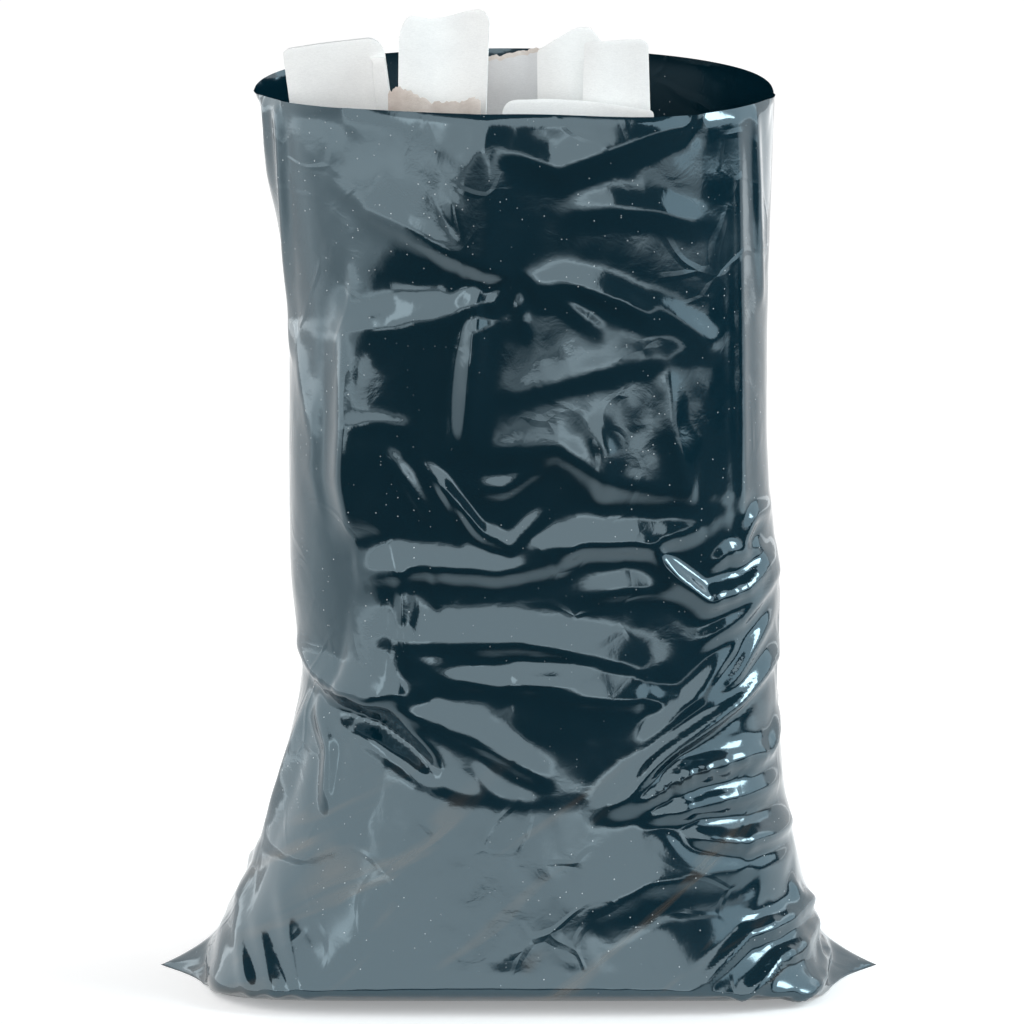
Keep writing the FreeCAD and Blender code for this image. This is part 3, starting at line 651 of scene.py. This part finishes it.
front = card_board("front_card", (-12, 118, packed_top),
                   [(-13, 803), (-2, 806), (12, 806), (24, 806.5), (60, 804), (118, 796)],
                   -100, (8, 3), lean=0.04, bow=-3.0, wave=1.2)
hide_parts("front_flap")
# The board at the back takes the darker card, which is painted shade.
sheet = card_board("back_card", (-38, 66, packed_top),
                   [(-38, 826), (-20, 828), (0, 830.5), (19, 834), (66, 836)],
                   22, (2, 2), lean=-0.03, bow=2.0, wave=2.0, torn=1, material=painted_shade_card)
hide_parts("back_sheet")


# The cartons
# Closed cartons of the same paperboard, packed in layers out of sight under the mouth.
for name, node in nodes.items():
    if name.startswith("carton"):
        node.data.materials.clear()
        node.data.materials.append(white_card)


# The floor
# A matt studio floor, pale but for a grey stretch in front of the sack, where the film mirrors it.
# Behind the sack its colour is painted darker, as painted shade, and its own paleness takes over,
# for the camera and for gloss.
FLOOR_REACH = 14.0
corners = [(FLOOR_REACH * x, FLOOR_REACH * y, 0.0) for x, y in ((-1, -1), (1, -1), (1, 1), (-1, 1))]
floor_mesh = bpy.data.meshes.new("studio_floor")
floor_mesh.from_pydata(corners, [], [(0, 1, 2, 3)])
floor = bpy.data.objects.new("studio_floor", floor_mesh)
bpy.context.scene.collection.objects.link(floor)
paint = bpy.data.materials.new("floor_paint")
paint.use_nodes = True
tree = paint.node_tree
shader = tree.nodes["Principled BSDF"]
shader.inputs["Roughness"].default_value = 0.9
shader.inputs["Specular IOR Level"].default_value = 0.0
shader.inputs["Emission Color"].default_value = (1.0, 1.0, 1.0, 1.0)
place = add_node(tree, "ShaderNodeNewGeometry", {})
split = add_node(tree, "ShaderNodeSeparateXYZ", {}, {"Vector": place.outputs["Position"]})
near = add_node(tree, "ShaderNodeMapRange",
                {"interpolation_type": "SMOOTHSTEP", "From Min": -0.56, "From Max": -0.31},
                {"Value": split.outputs["Y"]})
ahead = add_node(tree, "ShaderNodeMapRange", {"From Min": -3.6, "From Max": -6.5, "To Max": 0.9},
                 {"Value": split.outputs["Y"]})
near_or_ahead = add_node(tree, "ShaderNodeMath", {"operation": "MAXIMUM"},
                         {0: near.outputs["Result"], 1: ahead.outputs["Result"]})
sideways = add_node(tree, "ShaderNodeVectorMath", {"operation": "DOT_PRODUCT", 1: (-1.0, 0.9, 0.0)},
                    {0: place.outputs["Position"]})
left = add_node(tree, "ShaderNodeMapRange", {"From Min": 0.1, "From Max": 0.5},
                {"Value": sideways.outputs["Value"]})
pale = add_node(tree, "ShaderNodeMath", {"operation": "MAXIMUM"},
                {0: near_or_ahead.outputs["Value"], 1: left.outputs["Result"]})
colour = add_node(tree, "ShaderNodeMix",
                  {"data_type": "RGBA", "A": (0.05, 0.05, 0.05, 1.0), "B": (0.86, 0.86, 0.86, 1.0)},
                  {"Factor": pale.outputs["Value"]})
# Painted shade: the floor's colour grows darker behind the sack.
behind = add_node(tree, "ShaderNodeMapRange",
                  {"From Min": 0.3, "From Max": 1.2, "To Min": 1.0, "To Max": 0.15},
                  {"Value": split.outputs["Y"]})
shaded = add_node(tree, "ShaderNodeVectorMath", {"operation": "SCALE"},
                  {0: colour.outputs["Result"], "Scale": behind.outputs["Result"]})
tree.links.new(shaded.outputs["Vector"], shader.inputs["Base Color"])
far = add_node(tree, "ShaderNodeMapRange", {"From Min": -0.6, "From Max": 1.2},
               {"Value": split.outputs["Y"]})
rays = add_node(tree, "ShaderNodeLightPath", {})
seen = add_node(tree, "ShaderNodeMath", {"operation": "ADD"},
                {0: rays.outputs["Is Camera Ray"], 1: rays.outputs["Is Glossy Ray"]})
seen_all = add_node(tree, "ShaderNodeMath", {"operation": "ADD"},
                    {0: seen.outputs["Value"], 1: rays.outputs["Is Transmission Ray"]})
glow = add_node(tree, "ShaderNodeMath", {"operation": "MULTIPLY"},
                {0: seen_all.outputs["Value"], 1: far.outputs["Result"]})
tree.links.new(glow.outputs["Value"], shader.inputs["Emission Strength"])
floor_mesh.materials.append(paint)


# The studio
# Large soft boxes all round light the sack evenly, low strips fill its foot, and a small bright
# lamp at the right picks out the folds. The room itself is dim.
LAMP_AIM = Vector((0.0, 0.0, 0.40))


def soft_box(name, azimuth, elevation, distance, wide, tall, radiance, colour=(1.0, 1.0, 1.0)):
    """A rectangular lamp that faces the sack. Azimuth 0 is the front, and it grows to the right."""
    lamp = bpy.data.lights.new(name, "AREA")
    lamp.shape = "RECTANGLE"
    lamp.size, lamp.size_y = wide, tall
    lamp.color = colour
    lamp.energy = radiance * wide * tall * math.pi
    light = bpy.data.objects.new(name, lamp)
    bpy.context.scene.collection.objects.link(light)
    turn, lift = math.radians(azimuth), math.radians(elevation)
    level = math.cos(lift)
    toward = Vector((math.sin(turn) * level, -math.cos(turn) * level, math.sin(lift)))
    light.location = LAMP_AIM + toward * distance
    light.rotation_euler = toward.to_track_quat("Z", "Y").to_euler()


soft_box("left_soft_box", -84.0, 12.0, 4.0, 9.0, 4.4, 1.85)
soft_box("left_reflector", -31.0, -4.6, 3.0, 0.65, 0.32, 1.8)
soft_box("front_soft_box", -8.0, 30.0, 8.0, 9.6, 9.6, 1.85)
soft_box("low_fill", 18.0, -1.0, 8.0, 4.2, 1.0, 1.0)
soft_box("right_fill", 42.0, -1.8, 5.5, 4.4, 0.44, 0.9)
soft_box("rear_left_soft_box", -150.0, 14.0, 4.0, 3.2, 3.6, 1.0)
soft_box("rear_right_soft_box", 140.0, 14.0, 4.0, 3.6, 3.6, 1.0)
soft_box("right_soft_box", 80.0, 24.0, 4.0, 5.6, 3.5, 1.8, (0.82, 0.94, 1.0))
soft_box("right_lamp", 74.0, 26.0, 3.0, 0.7, 1.3, 13.0, (0.86, 0.97, 1.0))

ROOM_LIGHT = 0.08
world = bpy.data.worlds.new("dim_room")
bpy.context.scene.world = world
world.use_nodes = True
room = world.node_tree.nodes["Background"]
room.inputs["Color"].default_value = (ROOM_LIGHT, ROOM_LIGHT, ROOM_LIGHT, 1.0)

CAMERA_AIM = Vector((-0.005, 0.0, 0.4194))
CAMERA_DISTANCE = 6.0
CAMERA_LIFT = math.radians(11.5)
camera = bpy.data.cameras.new("camera")
camera.lens = 235.6
camera.sensor_width = 36.0
camera_object = bpy.data.objects.new("camera", camera)
bpy.context.scene.collection.objects.link(camera_object)
back = Vector((0.0, -math.cos(CAMERA_LIFT), math.sin(CAMERA_LIFT)))
camera_object.location = CAMERA_AIM + back * CAMERA_DISTANCE
camera_object.rotation_euler = back.to_track_quat("Z", "Y").to_euler()
bpy.context.scene.camera = camera_object
bpy.context.scene.view_settings.view_transform = "Standard"
